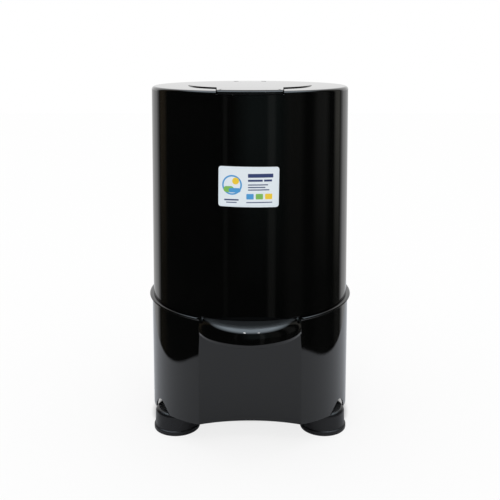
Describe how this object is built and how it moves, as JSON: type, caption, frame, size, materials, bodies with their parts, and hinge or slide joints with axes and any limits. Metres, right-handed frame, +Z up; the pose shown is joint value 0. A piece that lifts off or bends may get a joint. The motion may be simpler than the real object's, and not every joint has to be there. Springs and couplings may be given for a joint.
{
  "type": "spin dryer",
  "caption": "Upright cylindrical laundry spin dryer with a flush round lid, a hooded drain spout over a hollow front, a perforated drum driven from below, and suction feet.",
  "frame": {"origin": "middle of the whole dryer's box, on the surface that its feet stand on; the drum's axis lies 9.75 mm behind it", "axes": "+Z up along the drum's axis, -Y towards the front with the hood and label, +X to the right as seen from the front"},
  "size_m": [0.343, 0.3866, 0.578],
  "materials": {
    "gloss_black": "high gloss moulded plastic",
    "label": "printed film, satin",
    "rubber": "moulded rubber",
    "zinc_steel": "zinc plated",
    "stainless": "brushed stainless",
    "aluminium": "die cast",
    "copper": "enamelled copper wire",
    "core_steel": "laminated or cast, dull",
    "grey_plastic": "moulded, satin",
    "white_plastic": "moulded, satin",
    "brake_lining": "pressed friction lining"
  },
  "bodies": {
    "housing": {"outer_casing": "gloss_black", "base_shell": "gloss_black", "spout_hood": "gloss_black", "label_plate": "label", "foot_front_right": "rubber", "foot_front_left": "rubber", "foot_rear": "rubber", "foot_bolt_front_right": "zinc_steel", "foot_bolt_front_left": "zinc_steel", "foot_bolt_rear": "zinc_steel", "base_frame": "zinc_steel", "suspension_mount_front_right": "rubber", "suspension_mount_front_left": "rubber", "suspension_mount_rear": "rubber", "motor_cradle": "zinc_steel", "tub_post_front_right": "zinc_steel", "tub_post_front_left": "zinc_steel", "tub_post_rear": "zinc_steel", "motor_can": "zinc_steel", "stator_core": "core_steel", "upper_winding": "copper", "lower_winding": "copper", "upper_bell": "aluminium", "lower_bell": "aluminium", "upper_bearing": "stainless", "lower_bearing": "stainless", "inner_tub": "grey_plastic", "tub_cover": "grey_plastic", "shaft_seal": "rubber", "drain_spout": "grey_plastic", "hinge_block": "grey_plastic", "hinge_pin": "stainless", "latch_tray": "grey_plastic", "switch_body": "grey_plastic", "lock_actuator": "white_plastic", "brake_post": "zinc_steel", "brake_cable": "rubber", "capacitor": "white_plastic", "capacitor_cup": "grey_plastic", "cord_gland": "rubber"},
    "rotor": {"spin_drum": "stainless", "drum_hub": "aluminium", "clamp_plate": "aluminium", "hub_nut": "stainless", "balance_ring": "grey_plastic", "drive_shaft": "stainless", "rotor_core": "core_steel", "cooling_fan": "grey_plastic", "brake_drum": "core_steel"},
    "lid": {"lid_panel": "gloss_black", "lid_liner": "grey_plastic", "lid_gasket": "rubber", "lid_hook": "zinc_steel"},
    "brake": {"brake_lever": "zinc_steel", "brake_pad": "brake_lining"},
    "plunger": {"switch_plunger": "white_plastic"},
    "lock": {"lock_bolt": "stainless"}
  },
  "joints": [
    {"name": "drum_spin", "type": "hinge", "parent": "housing", "child": "rotor", "pos_m": [0, 0.00975, 0.3], "axis": [0, 0, 1], "continuous": true},
    {"name": "lid_hinge", "type": "hinge", "parent": "housing", "child": "lid", "pos_m": [0, 0.12275, 0.574], "axis": [-1, 0, 0], "range_deg": [0, 95]},
    {"name": "brake_pivot", "type": "hinge", "parent": "housing", "child": "brake", "pos_m": [0.03, 0.05975, 0.0745], "axis": [0, 0, 1], "range_deg": [0, 5.7]},
    {"name": "lid_switch", "type": "slide", "parent": "housing", "child": "plunger", "axis": [0, 0, -1], "range_m": [0, 0.003], "stiffness_N_per_m": 150},
    {"name": "lid_lock", "type": "slide", "parent": "housing", "child": "lock", "axis": [-1, 0, 0], "range_m": [0, 0.008], "stiffness_N_per_m": 150}
  ],
  "couplings": [
    {"joint": "brake_pivot", "follows": "lid_hinge", "ratio": 0.06}
  ]
}
